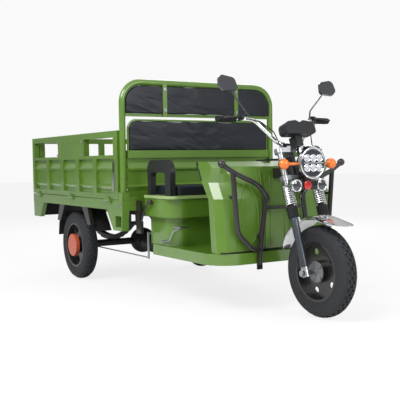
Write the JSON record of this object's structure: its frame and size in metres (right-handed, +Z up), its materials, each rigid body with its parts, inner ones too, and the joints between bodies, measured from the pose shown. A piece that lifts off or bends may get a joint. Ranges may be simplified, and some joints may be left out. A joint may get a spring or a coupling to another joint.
{
  "type": "electric cargo tricycle",
  "caption": "Electric cargo tricycle with a drop-side load bed, bench seat, leg shield and steered front wheel.",
  "frame": {"origin": "on the ground under the centre of the bounding box", "axes": "+X forward, +Y to the rider's left, +Z up"},
  "size_m": [3.08, 1.234, 1.3579],
  "materials": {
    "green_paint": "gloss",
    "black_paint": "satin",
    "tyre": "matte",
    "vinyl": "satin",
    "chrome": "polished",
    "steel": "satin",
    "silver": "satin",
    "black_plastic": "matte",
    "red_lens": "gloss",
    "amber_lens": "gloss",
    "orange_paint": "satin",
    "lamp": "gloss",
    "rubber": "matte",
    "mirror": "gloss",
    "iron": "satin"
  },
  "bodies": {
    "chassis": {"apron_lid": "black_plastic", "armrests": "black_plastic", "backrest_frame": "green_paint", "battery_pack": "black_plastic", "bed_floor": "green_paint", "bed_frame": "green_paint", "brake_pedal": "steel", "brake_rod": "steel", "chassis_frame": "black_paint", "corner_steps": "green_paint", "drive_motor": "iron", "floor_pan": "green_paint", "front_apron": "green_paint", "front_guard": "black_paint", "hand_lever": "black_paint", "head_tube": "black_paint", "headboard": "green_paint", "leaf_springs": "iron", "lower_back_pad": "vinyl", "mudguard_stays": "black_paint", "mudguards": "rubber", "rear_axle": "iron", "rear_brackets": "green_paint", "rear_hoop": "green_paint", "seat_board": "green_paint", "seat_box": "green_paint", "seat_cushion": "vinyl", "tail_lamps": "red_lens", "tail_panel": "black_plastic", "upper_back_pads": "vinyl"},
    "steering": {"aux_lamps": "lamp", "brake_levers": "black_plastic", "control_cables": "rubber", "fork": "silver", "fork_springs": "chrome", "front_axle": "steel", "front_fender": "chrome", "handlebar": "chrome", "handlebar_grips": "rubber", "headlight": "lamp", "indicators": "amber_lens", "instrument_cluster": "black_plastic", "lamp_bracket": "black_paint", "mirrors": "mirror"},
    "front_wheel": {"front_rim": "black_paint", "front_tyre": "tyre"},
    "rear_wheel_right": {"rear_right_hub_cap": "orange_paint", "rear_right_rim": "black_paint", "rear_right_tyre": "tyre"},
    "rear_wheel_left": {"rear_left_hub_cap": "orange_paint", "rear_left_rim": "black_paint", "rear_left_tyre": "tyre"},
    "right_gate": {"gate_right": "green_paint", "latch_right": "chrome"},
    "left_gate": {"gate_left": "green_paint", "latch_left": "chrome"},
    "rear_gate": {"tailgate": "green_paint"}
  },
  "joints": [
    {"name": "steering_pivot", "type": "hinge", "parent": "chassis", "child": "steering", "pos_m": [1.24758, 0, 0.22913], "axis": [-0.3173, 0, 0.9483], "range_deg": [-40, 40]},
    {"name": "front_wheel_spin", "type": "hinge", "parent": "steering", "child": "front_wheel", "pos_m": [1.295, 0, 0.245], "axis": [0, 1, 0], "continuous": true},
    {"name": "rear_right_spin", "type": "hinge", "parent": "chassis", "child": "rear_wheel_right", "pos_m": [-0.767, -0.513, 0.245], "axis": [0, 1, 0], "continuous": true},
    {"name": "rear_left_spin", "type": "hinge", "parent": "chassis", "child": "rear_wheel_left", "pos_m": [-0.767, 0.513, 0.245], "axis": [0, 1, 0], "continuous": true},
    {"name": "right_gate_hinge", "type": "hinge", "parent": "chassis", "child": "right_gate", "pos_m": [-0.727, -0.604, 0.598], "axis": [1, 0, 0], "range_deg": [0, 175]},
    {"name": "left_gate_hinge", "type": "hinge", "parent": "chassis", "child": "left_gate", "pos_m": [-0.727, 0.604, 0.598], "axis": [-1, 0, 0], "range_deg": [0, 175]},
    {"name": "tailgate_hinge", "type": "hinge", "parent": "chassis", "child": "rear_gate", "pos_m": [-1.532, 0, 0.598], "axis": [0, -1, 0], "range_deg": [0, 175]}
  ]
}
